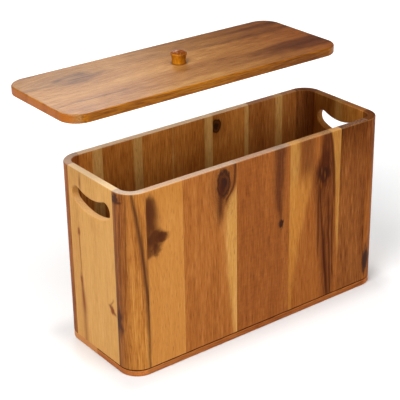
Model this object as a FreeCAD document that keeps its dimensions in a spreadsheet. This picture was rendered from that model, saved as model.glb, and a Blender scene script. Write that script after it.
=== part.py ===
"""Storage box for toilet rolls: walls of upright glued staves, a base board and a loose lid.

Millimetres. +X runs along the box, the front faces -Y and +Z is up. The origin is the middle of
the underside. The lid is drawn taken off: up off the rim, to the left and to the back.
"""
import FreeCAD
import Part
import Sketcher
import math
import os

SIZES = {
    # Walls
    "box_length": 440.0,
    "box_width": 163.0,
    "box_height": 263.5,
    "wall_thickness": 11.0,
    "corner_radius": 28.0,
    "corner_straight": 2.0,
    "rim_round": 2.0,
    # Glue joints of the front wall, from the left corner stave to the right one
    "front_joint_1_share": 0.15,
    "front_joint_2_share": 0.38,
    "front_joint_3_share": 0.622,
    "front_joint_4_share": 0.866,
    # Glue joints of the back wall, in the same direction
    "back_joint_1_share": 0.096,
    "back_joint_2_share": 0.266,
    "back_joint_3_share": 0.405,
    "back_joint_4_share": 0.586,
    "back_joint_5_share": 0.759,
    "back_joint_6_share": 0.929,
    # Hand holes: the slot's width, the wood left between its ends and the glue joints,
    # how far its end centres lie under the rim, and how far it sags between them
    "hand_hole_width": 22.5,
    "hand_hole_margin": 7.25,
    "hand_hole_drop": 35.5,
    "hand_hole_sag": 7.0,
    "hand_hole_round": 2.0,
    # Base board: its glue joint, from front to back, and the shadow line over its front strip
    "base_thickness": 10.0,
    "base_joint_share": 0.52,
    "base_round": 1.0,
    "shadow_line_height": 2.0,
    "shadow_line_depth": 1.5,
    # Lid board, and how far it is taken off the rim: up, to the left and to the back
    "lid_thickness": 12.0,
    "lid_round": 2.0,
    "lid_lift": 90.0,
    "lid_shift_left": 44.0,
    "lid_shift_back": 43.0,
    # Cleats under the lid
    "cleat_width": 24.0,
    "cleat_thickness": 6.0,
    "cleat_round": 1.0,
    "mouth_clearance": 5.0,
    # Turned knob
    "knob_diameter": 22.2,
    "knob_foot_diameter": 19.4,
    "knob_waist_height": 12.0,
    "knob_waist_radius": 30.0,
    "knob_lip_step": 0.6,
    "knob_lip_height": 2.0,
    "knob_lip_round": 0.5,
    "knob_dome_height": 4.0,
    # Screws: head, shank and length of each kind, and the room left round them
    "base_screw_head": 6.0,
    "base_screw_shank": 3.0,
    "base_screw_length": 30.0,
    "cleat_screw_head": 6.0,
    "cleat_screw_shank": 3.0,
    "cleat_screw_length": 12.0,
    "knob_screw_head": 8.0,
    "knob_screw_shank": 4.0,
    "knob_screw_length": 22.0,
    "screw_point_share": 0.2,
    "drive_depth_share": 0.6,
    "drive_length_share": 0.6,
    "drive_width_share": 0.16,
    "countersink_angle": 90.0,
    "head_recess": 0.5,
    "screw_clearance": 0.1,
    # Where the screws stand along the pieces that they hold
    "end_screw_share": 0.25,
    "cleat_screw_share": 0.3,
}

TOUCHING = 1e-4

# Sizes that follow from the sheet, as expressions
HALF_LENGTH = "(Sizes.box_length / 2)"
HALF_WIDTH = "(Sizes.box_width / 2)"
CORNER_LEG = "(Sizes.corner_radius + Sizes.corner_straight)"
PANEL_LENGTH = f"(Sizes.box_length - 2 * {CORNER_LEG})"
PANEL_START = f"(-{PANEL_LENGTH} / 2)"
END_WIDTH = f"(Sizes.box_width - 2 * {CORNER_LEG})"
WALL_HEIGHT = "(Sizes.box_height - Sizes.base_thickness)"
WALL_MIDDLE = "(Sizes.wall_thickness / 2)"
FRONT_STRIP_DEPTH = "(Sizes.box_width * Sizes.base_joint_share)"
BACK_STRIP_DEPTH = "(Sizes.box_width * (1 - Sizes.base_joint_share))"
STEP_HEIGHT = "(Sizes.base_thickness - Sizes.shadow_line_height)"
LID_X = "(-Sizes.lid_shift_left)"
LID_Y = "Sizes.lid_shift_back"
LID_BOTTOM = "(Sizes.box_height + Sizes.lid_lift)"
LID_TOP = f"({LID_BOTTOM} + Sizes.lid_thickness)"
CLEAT_BOTTOM = f"({LID_BOTTOM} - Sizes.cleat_thickness)"
CLEAT_INSET = "(Sizes.wall_thickness + Sizes.mouth_clearance)"
CLEAT_MIDDLE = f"({HALF_LENGTH} - {CLEAT_INSET} - Sizes.cleat_width / 2)"
CLEAT_LENGTH = f"(Sizes.box_width - 2 * {CLEAT_INSET})"
FLARE = "tan(Sizes.countersink_angle / 2)"

doc = FreeCAD.newDocument("toilet_roll_box")
sheet = doc.addObject("Spreadsheet::Sheet", "Sizes")
for row, (alias, size) in enumerate(SIZES.items(), start=1):
    sheet.set(f"A{row}", alias)
    sheet.set(f"B{row}", str(size))
    sheet.setAlias(f"B{row}", alias)
doc.recompute()

nodes = []


def value(expression):
    """The number that an expression of sheet sizes stands for."""
    return float(sheet.evalExpression(expression))


def new_body(label):
    body = doc.addObject("PartDesign::Body", label)
    body.Label = label
    return body


def place(body, x="0", y="0", z="0", turn=0.0):
    """Turns a piece about the upright axis, then ties its place to the sheet."""
    upright = FreeCAD.Vector(0, 0, 1)
    body.Placement = FreeCAD.Placement(FreeCAD.Vector(), FreeCAD.Rotation(upright, turn))
    for axis, expression in zip("xyz", (x, y, z)):
        body.setExpression(f"Placement.Base.{axis}", expression)


def new_sketch(body, name, role="XY_Plane", lift="0"):
    sketch = body.newObject("Sketcher::SketchObject", name)
    plane = next(feature for feature in body.Origin.OriginFeatures if feature.Role == role)
    sketch.AttachmentSupport = [(plane, "")]
    sketch.MapMode = "FlatFace"
    sketch.setExpression("AttachmentOffset.Base.z", lift)
    return sketch


def bind(sketch, kind, *target, to):
    """Adds a dimension to a sketch and ties it to an expression of sheet sizes."""
    index = sketch.addConstraint(Sketcher.Constraint(kind, *target, value(to)))
    sketch.setExpression(f"Constraints[{index}]", to)


def arc_between(start, end, radius, left_turn):
    """Circular arc of under a half turn from one point to the next."""
    first, last = (start, end) if left_turn else (end, start)
    chord = last - first
    rise = math.sqrt(max(radius**2 - (chord.Length / 2) ** 2, 0))
    side = FreeCAD.Vector(-chord.y, chord.x, 0).normalize()
    centre = (first + last) / 2 + side * rise
    begin = math.atan2(first.y - centre.y, first.x - centre.x)
    finish = math.atan2(last.y - centre.y, last.x - centre.x)
    circle = Part.Circle(centre, FreeCAD.Vector(0, 0, 1), radius)
    return Part.ArcOfCircle(circle, begin, finish)


def outline(sketch, corners):
    """Closed outline through corners (x, y) or (x, y, radius, turn).

    The last two make the run to the next corner an arc that turns left or right. Every corner
    and radius is an expression of sheet sizes, and becomes a dimension of the sketch.
    """
    points = [FreeCAD.Vector(value(corner[0]), value(corner[1]), 0) for corner in corners]
    runs = []
    for index, corner in enumerate(corners):
        start = points[index]
        end = points[(index + 1) % len(points)]
        if len(corner) == 2:
            runs.append((sketch.addGeometry(Part.LineSegment(start, end)), 1, 2))
            continue
        left_turn = corner[3] == "left"
        curve = sketch.addGeometry(arc_between(start, end, value(corner[2]), left_turn))
        runs.append((curve, 1, 2) if left_turn else (curve, 2, 1))
    for index, (curve, first, _) in enumerate(runs):
        before, _, last = runs[index - 1]
        sketch.addConstraint(Sketcher.Constraint("Coincident", before, last, curve, first))
        bind(sketch, "DistanceX", -1, 1, curve, first, to=corners[index][0])
        bind(sketch, "DistanceY", -1, 1, curve, first, to=corners[index][1])
        if len(corners[index]) > 2:
            bind(sketch, "Radius", curve, to=corners[index][2])


def rectangle(sketch, width, depth, left="0", front="0"):
    right = f"({left} + {width})"
    back = f"({front} + {depth})"
    outline(sketch, ((left, front), (right, front), (right, back), (left, back)))


def circles(sketch, centres, diameter):
    for x, y in centres:
        circle = Part.Circle(
            FreeCAD.Vector(value(x), value(y), 0), FreeCAD.Vector(0, 0, 1), value(diameter) / 2
        )
        curve = sketch.addGeometry(circle)
        bind(sketch, "DistanceX", -1, 1, curve, 3, to=x)
        bind(sketch, "DistanceY", -1, 1, curve, 3, to=y)
        bind(sketch, "Diameter", curve, to=diameter)


def pad(body, sketch, height, name="Board"):
    feature = body.newObject("PartDesign::Pad", name)
    feature.Profile = sketch
    feature.setExpression("Length", height)
    doc.recompute()
    return feature


def revolve(body, sketch, name):
    """Turns a profile drawn on the upright plane about the upright axis."""
    feature = body.newObject("PartDesign::Revolution", name)
    feature.Profile = sketch
    feature.ReferenceAxis = (sketch, ["V_Axis"])
    doc.recompute()
    return feature


def check_cut(feature, volume_before):
    """A cut that points away from its solid takes nothing off it."""
    if not feature.Shape.Volume < volume_before:
        raise RuntimeError(f"{feature.Label} cuts nothing")


def cut(body, sketch, name, depth=None):
    """Cuts a sketch into the solid above its plane, right through if no depth is given."""
    volume = body.Shape.Volume
    feature = body.newObject("PartDesign::Pocket", name)
    feature.Profile = sketch
    feature.Reversed = True
    if depth is None:
        feature.Type = "ThroughAll"
    else:
        feature.setExpression("Length", depth)
    doc.recompute()
    check_cut(feature, volume)


def drill(body, name, centres, kind, depth):
    """Blind pilot holes from beneath for one kind of screw."""
    sketch = new_sketch(body, f"{name}Places")
    circles(sketch, centres, shank_hole(kind))
    cut(body, sketch, name, depth)


def countersink(body, name, centres, kind):
    """Through holes from beneath, countersunk so that the screw heads lie below the surface."""
    sketch = new_sketch(body, f"{name}Places")
    circles(sketch, centres, shank_hole(kind))
    doc.recompute()
    volume = body.Shape.Volume
    hole = body.newObject("PartDesign::Hole", name)
    hole.Profile = sketch
    doc.recompute()
    hole.ThreadType = "None"
    hole.DepthType = "ThroughAll"
    hole.setExpression("Diameter", shank_hole(kind))
    hole.HoleCutType = "Countersink"
    hole.setExpression("HoleCutDiameter", head_hole(kind))
    hole.setExpression("HoleCutCountersinkAngle", "Sizes.countersink_angle")
    hole.Reversed = True
    doc.recompute()
    check_cut(hole, volume)


def shank_hole(kind):
    return f"(Sizes.{kind}_screw_shank + 2 * Sizes.screw_clearance)"


def head_hole(kind):
    room = f"(Sizes.screw_clearance + Sizes.head_recess * {FLARE})"
    return f"(Sizes.{kind}_screw_head + 2 * {room})"


def pilot_depth(kind, cover):
    """Depth of a pilot hole behind a piece of the given thickness."""
    return f"(Sizes.{kind}_screw_length + Sizes.head_recess + Sizes.screw_clearance - {cover})"


def round_edges(body, name, radius, wanted):
    """Rounds the edges of the body that a test on their bounding boxes picks out."""
    base = body.Tip
    picked = [
        f"Edge{index}"
        for index, edge in enumerate(base.Shape.Edges, start=1)
        if wanted(edge.BoundBox)
    ]
    if not picked:
        raise RuntimeError(f"{body.Label}: no edges for {name}")
    feature = body.newObject("PartDesign::Fillet", name)
    feature.Base = (base, picked)
    feature.setExpression("Radius", radius)
    doc.recompute()


def at(position, expression):
    return abs(position - value(expression)) < TOUCHING


def round_rim(body, across):
    """Rounds the two long top edges of a wall piece; across is the axis of its thickness."""

    def along_the_rim(box):
        flat_across = {"x": box.XLength, "y": box.YLength}[across] < TOUCHING
        return flat_across and at(box.ZMin, WALL_HEIGHT)

    round_edges(body, "RimRound", "Sizes.rim_round", along_the_rim)


def stave(label, start, end, screwed):
    """Upright board between two glue joints of a long wall, with its outer face at the front."""
    width = f"({PANEL_LENGTH} * ({end} - {start}))"
    body = new_body(label)
    sketch = new_sketch(body, "Section")
    rectangle(sketch, width, "Sizes.wall_thickness")
    pad(body, sketch, WALL_HEIGHT)
    round_rim(body, "y")
    if screwed:
        depth = pilot_depth("base", "Sizes.base_thickness")
        drill(body, "Pilot", ((f"({width} / 2)", WALL_MIDDLE),), "base", depth)
    nodes.append(body)
    return body


def joint_shares(wall):
    """Shares of the panel at which the staves of a long wall start and end."""
    return ["0", *(f"Sizes.{name}" for name in SIZES if name.startswith(f"{wall}_joint")), "1"]


def screwed_staves(wall):
    """Numbers of the staves that take a screw: the odd ones in front, the even ones at the back."""
    numbers = range(1, len(joint_shares(wall)))
    return numbers[::2] if wall == "front" else numbers[1::2]


def long_wall(wall, y):
    """All staves of the front or back wall, from left to right."""
    shares = joint_shares(wall)
    for number, (start, end) in enumerate(zip(shares, shares[1:]), start=1):
        body = stave(f"{wall}_stave_{number}", start, end, number in screwed_staves(wall))
        place(body, f"{PANEL_START} + {PANEL_LENGTH} * {start}", y, "Sizes.base_thickness")


def stave_screws(wall):
    """Places along X of the screws in the staves of a long wall."""
    shares = joint_shares(wall)
    return [
        f"({PANEL_START} + {PANEL_LENGTH} * ({shares[number - 1]} + {shares[number]}) / 2)"
        for number in screwed_staves(wall)
    ]


def hand_hole(sketch):
    """Smile-shaped slot: two arcs about one centre, closed by a half circle at each end."""
    half_width = "(Sizes.hand_hole_width / 2)"
    half_span = f"({END_WIDTH} / 2 - Sizes.hand_hole_margin - {half_width})"
    bend = f"(({half_span}^2 + Sizes.hand_hole_sag^2) / (2 * Sizes.hand_hole_sag))"
    end_height = f"({WALL_HEIGHT} - Sizes.hand_hole_drop)"
    centre_height = value(end_height) - value("Sizes.hand_hole_sag") + value(bend)
    swing = math.asin(value(half_span) / value(bend))
    down = -math.pi / 2
    normal = FreeCAD.Vector(0, 0, 1)

    def arc(x, y, radius, begin, finish):
        circle = Part.Circle(FreeCAD.Vector(x, y, 0), normal, radius)
        return sketch.addGeometry(Part.ArcOfCircle(circle, begin, finish))

    end_radius = value(half_width)
    upper = arc(0, centre_height, value(bend) - end_radius, down - swing, down + swing)
    lower = arc(0, centre_height, value(bend) + end_radius, down - swing, down + swing)
    right_start = down + swing
    left_start = down - swing + math.pi
    right = arc(value(half_span), value(end_height), end_radius, right_start, right_start + math.pi)
    left = arc(-value(half_span), value(end_height), end_radius, left_start, left_start + math.pi)
    joins = ((upper, 2, right, 2), (lower, 2, right, 1), (upper, 1, left, 1), (lower, 1, left, 2))
    for join in joins:
        sketch.addConstraint(Sketcher.Constraint("Tangent", *join))
    sketch.addConstraint(Sketcher.Constraint("Coincident", upper, 3, lower, 3))
    sketch.addConstraint(Sketcher.Constraint("PointOnObject", upper, 3, -2))
    sketch.addConstraint(Sketcher.Constraint("Horizontal", left, 3, right, 3))
    bind(sketch, "DistanceX", left, 3, right, 3, to=f"(2 * {half_span})")
    bind(sketch, "DistanceY", -1, 1, right, 3, to=end_height)
    bind(sketch, "Radius", right, to=half_width)
    bind(sketch, "Radius", upper, to=f"({bend} - {half_width})")


def end_board(label, turn):
    """Wide board of one end, with its hand hole rounded over on both faces."""
    body = new_body(label)
    section = new_sketch(body, "Section")
    rectangle(section, "Sizes.wall_thickness", END_WIDTH, front=f"(-{END_WIDTH} / 2)")
    pad(body, section, WALL_HEIGHT)
    slot = new_sketch(body, "HandHoleOutline", "YZ_Plane")
    hand_hole(slot)
    cut(body, slot, "HandHole")

    def on_the_slot(box):
        flat = box.XLength < TOUCHING
        inside = box.ZMin > TOUCHING and box.ZMax < value(WALL_HEIGHT) - TOUCHING
        return flat and inside

    round_edges(body, "HandHoleRound", "Sizes.hand_hole_round", on_the_slot)
    round_rim(body, "x")
    offset = f"({END_WIDTH} * Sizes.end_screw_share)"
    centres = ((WALL_MIDDLE, f"(-{offset})"), (WALL_MIDDLE, offset))
    drill(body, "Pilot", centres, "base", pilot_depth("base", "Sizes.base_thickness"))
    x = f"(-{HALF_LENGTH})" if turn == 0 else HALF_LENGTH
    place(body, x, z="Sizes.base_thickness", turn=turn)
    nodes.append(body)


def corner_stave(label, x_side, y_side, turn):
    """Upright stave rounded inside and out, drawn about the centre of its curve."""
    outer = "Sizes.corner_radius"
    inner = "(Sizes.corner_radius - Sizes.wall_thickness)"
    past = "(-Sizes.corner_straight)"
    body = new_body(label)
    sketch = new_sketch(body, "Section")
    outline(
        sketch,
        (
            (outer, past),
            (outer, "0", outer, "left"),
            ("0", outer),
            (past, outer),
            (past, inner),
            ("0", inner, inner, "right"),
            (inner, "0"),
            (inner, past),
        ),
    )
    pad(body, sketch, WALL_HEIGHT)

    def along_the_rim(box):
        at_a_joint = at(box.XMax, past) or at(box.YMax, past)
        return at(box.ZMin, WALL_HEIGHT) and not at_a_joint

    round_edges(body, "RimRound", "Sizes.rim_round", along_the_rim)
    x = f"({x_side} * ({HALF_LENGTH} - Sizes.corner_radius))"
    y = f"({y_side} * ({HALF_WIDTH} - Sizes.corner_radius))"
    place(body, x, y, "Sizes.base_thickness", turn)
    nodes.append(body)


def base_outline(sketch, joint, inset="0"):
    """The box outline from the front to a joint along the box, with both front corners rounded."""
    end = f"({HALF_LENGTH} - {inset})"
    front = f"(-({HALF_WIDTH} - {inset}))"
    radius = f"(Sizes.corner_radius - {inset})"
    outline(
        sketch,
        (
            (f"(-{end} + {radius})", front),
            (f"({end} - {radius})", front, radius, "left"),
            (end, f"({front} + {radius})"),
            (end, joint),
            (f"(-{end})", joint),
            (f"(-{end})", f"({front} + {radius})", radius, "left"),
        ),
    )


def base_strip(label, depth, wall_screws, turn, stepped):
    """One strip of the base board; the step round the top edge of one makes the shadow line."""
    joint = f"({depth} - {HALF_WIDTH})"
    body = new_body(label)
    lower = new_sketch(body, "Outline")
    base_outline(lower, joint)
    pad(body, lower, STEP_HEIGHT if stepped else "Sizes.base_thickness")

    def outer_edge(box):
        flat = box.ZLength < TOUCHING
        return flat and box.YMin < value(joint) - TOUCHING

    round_edges(body, "BaseRound", "Sizes.base_round", outer_edge)
    if stepped:
        field = new_sketch(body, "Field", lift=STEP_HEIGHT)
        base_outline(field, joint, "Sizes.shadow_line_depth")
        pad(body, field, "Sizes.shadow_line_height", "RaisedField")
    wall_line = f"(-({HALF_WIDTH} - {WALL_MIDDLE}))"
    end_line = f"({HALF_LENGTH} - {WALL_MIDDLE})"
    end_offset = f"(-{END_WIDTH} * Sizes.end_screw_share)"
    centres = [(x, wall_line) for x in wall_screws]
    centres += [(f"(-{end_line})", end_offset), (end_line, end_offset)]
    countersink(body, "ScrewHoles", centres, "base")
    place(body, turn=turn)
    nodes.append(body)


def lid_outline(sketch):
    radius = "Sizes.corner_radius"
    long_side = f"({HALF_LENGTH} - {radius})"
    short_side = f"({HALF_WIDTH} - {radius})"
    outline(
        sketch,
        (
            (f"(-{long_side})", f"(-{HALF_WIDTH})"),
            (long_side, f"(-{HALF_WIDTH})", radius, "left"),
            (HALF_LENGTH, f"(-{short_side})"),
            (HALF_LENGTH, short_side, radius, "left"),
            (long_side, HALF_WIDTH),
            (f"(-{long_side})", HALF_WIDTH, radius, "left"),
            (f"(-{HALF_LENGTH})", short_side),
            (f"(-{HALF_LENGTH})", f"(-{short_side})", radius, "left"),
        ),
    )


def cleat_screw_places():
    """Screw places on the cleat at +X, about the middle of the lid."""
    offset = f"({CLEAT_LENGTH} * Sizes.cleat_screw_share)"
    return [(CLEAT_MIDDLE, f"(-{offset})"), (CLEAT_MIDDLE, offset)]


def half_turned(places):
    return [(f"(-{x})", f"(-{y})") for x, y in places]


def on_lid(places):
    return [(f"({LID_X} + {x})", f"({LID_Y} + {y})") for x, y in places]


def lid_board():
    body = new_body("lid_board")
    sketch = new_sketch(body, "Outline")
    lid_outline(sketch)
    pad(body, sketch, "Sizes.lid_thickness")
    round_edges(body, "LidRound", "Sizes.lid_round", lambda box: box.ZLength < TOUCHING)
    countersink(body, "KnobHole", (("0", "0"),), "knob")
    places = cleat_screw_places()
    depth = pilot_depth("cleat", "Sizes.cleat_thickness")
    drill(body, "CleatPilots", places + half_turned(places), "cleat", depth)
    place(body, LID_X, LID_Y, LID_BOTTOM)
    nodes.append(body)


def cleat(label, turn):
    """Cross batten whose outer corners follow the rounded corners of the mouth."""
    outer = f"({HALF_LENGTH} - {CLEAT_INSET})"
    inner = f"({outer} - Sizes.cleat_width)"
    end = f"({CLEAT_LENGTH} / 2)"
    radius = f"(Sizes.corner_radius - {CLEAT_INSET})"
    body = new_body(label)
    sketch = new_sketch(body, "Outline")
    outline(
        sketch,
        (
            (inner, f"(-{end})"),
            (f"({outer} - {radius})", f"(-{end})", radius, "left"),
            (outer, f"(-{end} + {radius})"),
            (outer, f"({end} - {radius})", radius, "left"),
            (f"({outer} - {radius})", end),
            (inner, end),
        ),
    )
    pad(body, sketch, "Sizes.cleat_thickness")
    round_edges(body, "CleatRound", "Sizes.cleat_round", lambda box: at(box.ZMax, "0"))
    countersink(body, "ScrewHoles", cleat_screw_places(), "cleat")
    place(body, LID_X, LID_Y, CLEAT_BOTTOM, turn)
    nodes.append(body)


def knob():
    """Turned knob: a hollowed waist under a narrow lip and a low dome, bored for its screw."""
    foot = "(Sizes.knob_foot_diameter / 2)"
    lip = "(Sizes.knob_diameter / 2)"
    lip_top = "(Sizes.knob_waist_height + Sizes.knob_lip_height)"
    rise = "Sizes.knob_dome_height"
    dome = f"(({lip}^2 + {rise}^2) / (2 * {rise}))"
    bore = f"({shank_hole('knob')} / 2)"
    bore_top = pilot_depth("knob", "Sizes.lid_thickness")
    body = new_body("lid_knob")
    sketch = new_sketch(body, "Profile", "XZ_Plane")
    outline(
        sketch,
        (
            (bore, "0"),
            (foot, "0", "Sizes.knob_waist_radius", "right"),
            (f"({lip} - Sizes.knob_lip_step)", "Sizes.knob_waist_height"),
            (lip, "Sizes.knob_waist_height"),
            (lip, lip_top, dome, "left"),
            ("0", f"({lip_top} + {rise})"),
            ("0", bore_top),
            (bore, bore_top),
        ),
    )
    revolve(body, sketch, "Turning")
    lip_radius = value(lip)

    def lip_edge(box):
        return box.ZLength < TOUCHING and abs(box.XMax - lip_radius) < TOUCHING

    round_edges(body, "LipRound", "Sizes.knob_lip_round", lip_edge)
    place(body, LID_X, LID_Y, LID_TOP)
    nodes.append(body)


def screw(kind):
    """Countersunk wood screw with its head down, a point at the top and a cross drive."""
    head = f"(Sizes.{kind}_screw_head / 2)"
    shank = f"(Sizes.{kind}_screw_shank / 2)"
    length = f"Sizes.{kind}_screw_length"
    point = f"({length} * (1 - Sizes.screw_point_share))"
    head_depth = f"(({head} - {shank}) / {FLARE})"
    body = new_body(f"single_{kind}_screw")
    profile = new_sketch(body, "Profile", "XZ_Plane")
    outline(profile, (("0", "0"), (head, "0"), (shank, head_depth), (shank, point), ("0", length)))
    revolve(body, profile, "Turning")
    long_side = f"(2 * {head} * Sizes.drive_length_share)"
    short_side = f"(2 * {head} * Sizes.drive_width_share)"
    for name, width, depth in (("Cross", long_side, short_side), ("Bar", short_side, long_side)):
        slot = new_sketch(body, f"{name}Slot")
        rectangle(slot, width, depth, f"(-{width} / 2)", f"(-{depth} / 2)")
        cut(body, slot, f"{name}Drive", f"({head_depth} * Sizes.drive_depth_share)")
    return body


def screw_group(label, kind, places, z):
    """Copies of one screw, each a solid of its own, in one node."""
    master = screw(kind)
    copies = []
    for number, (x, y) in enumerate(places, start=1):
        copy = doc.addObject("App::Link", f"{label}_{number}")
        copy.LinkedObject = master
        place(copy, x, y, z)
        copies.append(copy)
    group = doc.addObject("Part::Compound", label)
    group.Label = label
    group.Links = copies
    nodes.append(group)


def base_screw_places(front_screws, back_screws):
    wall_line = f"({HALF_WIDTH} - {WALL_MIDDLE})"
    end_line = f"({HALF_LENGTH} - {WALL_MIDDLE})"
    offset = f"({END_WIDTH} * Sizes.end_screw_share)"
    places = [(x, f"(-{wall_line})") for x in front_screws]
    places += [(x, wall_line) for x in back_screws]
    for x in (f"(-{end_line})", end_line):
        places += [(x, f"(-{offset})"), (x, offset)]
    return places


def build():
    long_wall("front", f"(-{HALF_WIDTH})")
    long_wall("back", f"({HALF_WIDTH} - Sizes.wall_thickness)")
    end_board("left_end_board", turn=0.0)
    end_board("right_end_board", turn=180.0)
    corner_stave("corner_back_right", 1, 1, turn=0.0)
    corner_stave("corner_back_left", -1, 1, turn=90.0)
    corner_stave("corner_front_left", -1, -1, turn=180.0)
    corner_stave("corner_front_right", 1, -1, turn=270.0)
    front_screws = stave_screws("front")
    back_screws = stave_screws("back")
    base_strip("base_strip_front", FRONT_STRIP_DEPTH, front_screws, turn=0.0, stepped=True)
    back_screws_turned = [f"(-{x})" for x in back_screws]
    base_strip("base_strip_back", BACK_STRIP_DEPTH, back_screws_turned, turn=180.0, stepped=False)
    places = base_screw_places(front_screws, back_screws)
    screw_group("base_screws", "base", places, "Sizes.head_recess")
    lid_board()
    cleat("lid_cleat_right", turn=0.0)
    cleat("lid_cleat_left", turn=180.0)
    places = cleat_screw_places()
    places = on_lid(places + half_turned(places))
    screw_group("cleat_screws", "cleat", places, f"({CLEAT_BOTTOM} + Sizes.head_recess)")
    knob()
    places = on_lid([("0", "0")])
    screw_group("knob_screw", "knob", places, f"({LID_BOTTOM} + Sizes.head_recess)")


def check():
    """Stops if any object failed to compute or any piece is not a sound solid."""
    doc.recompute()
    for item in doc.Objects:
        if "Invalid" in item.State or "Error" in item.State:
            raise RuntimeError(f"{item.Label} failed: {item.State}")
    for node in nodes:
        if node.Shape.isNull() or not node.Shape.isValid() or not node.Shape.Solids:
            raise RuntimeError(f"{node.Label} has no sound solid")


def export():
    os.makedirs("parts", exist_ok=True)
    for node in nodes:
        node.Shape.exportStep(f"parts/{node.Label}.step")
        print(f"{node.Label}: {len(node.Shape.Solids)} solid, {node.Shape.Volume:.1f} mm3")


build()
check()
export()
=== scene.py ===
"""Looks of the wooden toilet roll box: wood on every board, pale floor, soft light and camera.

Metres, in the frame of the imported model: +X runs along the box, the front faces -Y and +Z is up.
"""
import math
from dataclasses import dataclass
from itertools import product

import bpy
from mathutils import Matrix, Vector


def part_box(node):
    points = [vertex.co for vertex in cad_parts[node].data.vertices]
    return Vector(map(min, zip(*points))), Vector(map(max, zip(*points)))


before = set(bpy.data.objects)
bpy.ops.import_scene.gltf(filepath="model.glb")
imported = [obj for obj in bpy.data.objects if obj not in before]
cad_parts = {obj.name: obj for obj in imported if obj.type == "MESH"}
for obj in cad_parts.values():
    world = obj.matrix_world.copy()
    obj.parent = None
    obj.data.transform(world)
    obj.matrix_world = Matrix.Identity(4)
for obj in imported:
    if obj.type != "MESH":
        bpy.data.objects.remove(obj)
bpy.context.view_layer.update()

# Directions of the grain and across it
X = Vector((1, 0, 0))
Y = Vector((0, 1, 0))
Z = Vector((0, 0, 1))
DIAGONAL_RISE = (X + Y).normalized()
DIAGONAL_FALL = (X - Y).normalized()


def srgb(*levels):
    """Linear colour of three 0 to 255 levels, by the sRGB formula."""
    shares = [level / 255 for level in levels]
    return tuple(s / 12.92 if s <= 0.04045 else ((s + 0.055) / 1.055) ** 2.4 for s in shares)


@dataclass(frozen=True)
class Tone:
    """Colours of one kind of wood: its dark lines, its body and its pale fibres."""

    dark: tuple
    body: tuple
    pale: tuple


SCORCH = Tone(srgb(58, 20, 2), srgb(94, 44, 14), srgb(132, 72, 28))
# Painted shade on the top of the fifth front stave
STAVE_TOP_SHADE = Tone(srgb(44, 16, 0), srgb(88, 40, 3), srgb(122, 66, 14))
GOLD = Tone(srgb(168, 104, 40), srgb(195, 130, 60), srgb(213, 153, 82))
STRAW = Tone(srgb(180, 124, 60), srgb(206, 152, 80), srgb(219, 170, 102))
END_GOLD = Tone(srgb(198, 136, 70), srgb(222, 164, 90), srgb(233, 181, 112))
SAPWOOD = Tone(srgb(172, 112, 46), srgb(197, 140, 68), srgb(213, 161, 92))
OLD_SAP = Tone(srgb(151, 94, 35), srgb(175, 119, 53), srgb(191, 138, 72))
HONEY = Tone(srgb(140, 78, 24), srgb(180, 114, 44), srgb(202, 140, 66))
BROWN = Tone(srgb(126, 66, 22), srgb(166, 98, 40), srgb(192, 127, 64))
RUSSET = Tone(srgb(116, 58, 18), srgb(150, 84, 32), srgb(174, 108, 50))
UMBER = Tone(srgb(86, 40, 12), srgb(132, 73, 28), srgb(162, 100, 48))
COFFEE = Tone(srgb(58, 25, 8), srgb(104, 53, 20), srgb(142, 84, 40))
CHESTNUT = Tone(srgb(110, 50, 14), srgb(158, 86, 34), srgb(188, 116, 58))
BASE_RED = Tone(srgb(130, 62, 20), srgb(180, 102, 44), srgb(204, 130, 68))
BASE_TAN = Tone(srgb(168, 100, 44), srgb(206, 136, 68), srgb(224, 160, 92))
BASE_END_RED = srgb(188, 112, 58)
BASE_END_TAN = srgb(210, 142, 84)
AMBER = Tone(srgb(134, 70, 4), srgb(200, 124, 20), srgb(230, 166, 60))
# Painted shade down the sides and at the foot of the knob
KNOB_SHADE = Tone(srgb(76, 34, 2), srgb(118, 60, 8), srgb(150, 86, 22))
# Back wall tones: partly the wood's own colour, partly painted light for the inside of the box
BACK_LIGHT = Tone(srgb(156, 86, 28), srgb(200, 124, 50), srgb(220, 152, 76))
BACK_DEEP = Tone(srgb(138, 74, 24), srgb(184, 110, 42), srgb(208, 138, 64))
KNOB_HEAD = Tone(srgb(74, 28, 2), srgb(128, 62, 8), srgb(164, 92, 22))
LID_PALE = Tone(srgb(140, 88, 38), srgb(173, 119, 60), srgb(194, 146, 84))
LID_DEEP = Tone(srgb(88, 41, 9), srgb(128, 65, 19), srgb(154, 90, 38))
LID_DARK = Tone(srgb(56, 25, 8), srgb(86, 46, 17), srgb(118, 71, 32))
LID_SMOKE = Tone(srgb(54, 21, 6), srgb(87, 41, 14), srgb(116, 63, 27))
LID_EDGE = Tone(srgb(118, 62, 3), srgb(169, 100, 9), srgb(192, 128, 30))
LID_END = srgb(192, 100, 10)
BARK = srgb(66, 24, 3)
KNOT_HEART = srgb(38, 17, 8)
KNOT_PALE = srgb(132, 66, 20)
BRISTLE = srgb(158, 90, 30)
RUST = srgb(134, 58, 22)
GRIME = srgb(44, 30, 28)
# Painted shade and reflection round the foot of the knob
KNOB_FOOT_SHADE = srgb(82, 37, 3)
# Colours of the cut rims: partly their pale end grain, partly painted sheen, paler left and front,
# darker right
SANDED_SHEEN = srgb(221, 199, 175)
# Paler still on the back rims: painted light where the lid shades them
SANDED_BACK_LIT = srgb(252, 222, 180)
DARK_RIM = srgb(110, 66, 36)
DARK_CORNER = srgb(84, 44, 18)
WARM_RIM = srgb(250, 200, 140)
END_RIM = srgb(245, 217, 172)
# Noise of a texture node: its mean, and what spreads it to about -1 to 1
NOISE_MEAN = 0.5
NOISE_GAIN = 2.0
# Where the body of a tone lies, between its dark lines at 0 and its pale fibres at 1
TONE_MIDDLE = 0.5


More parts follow.
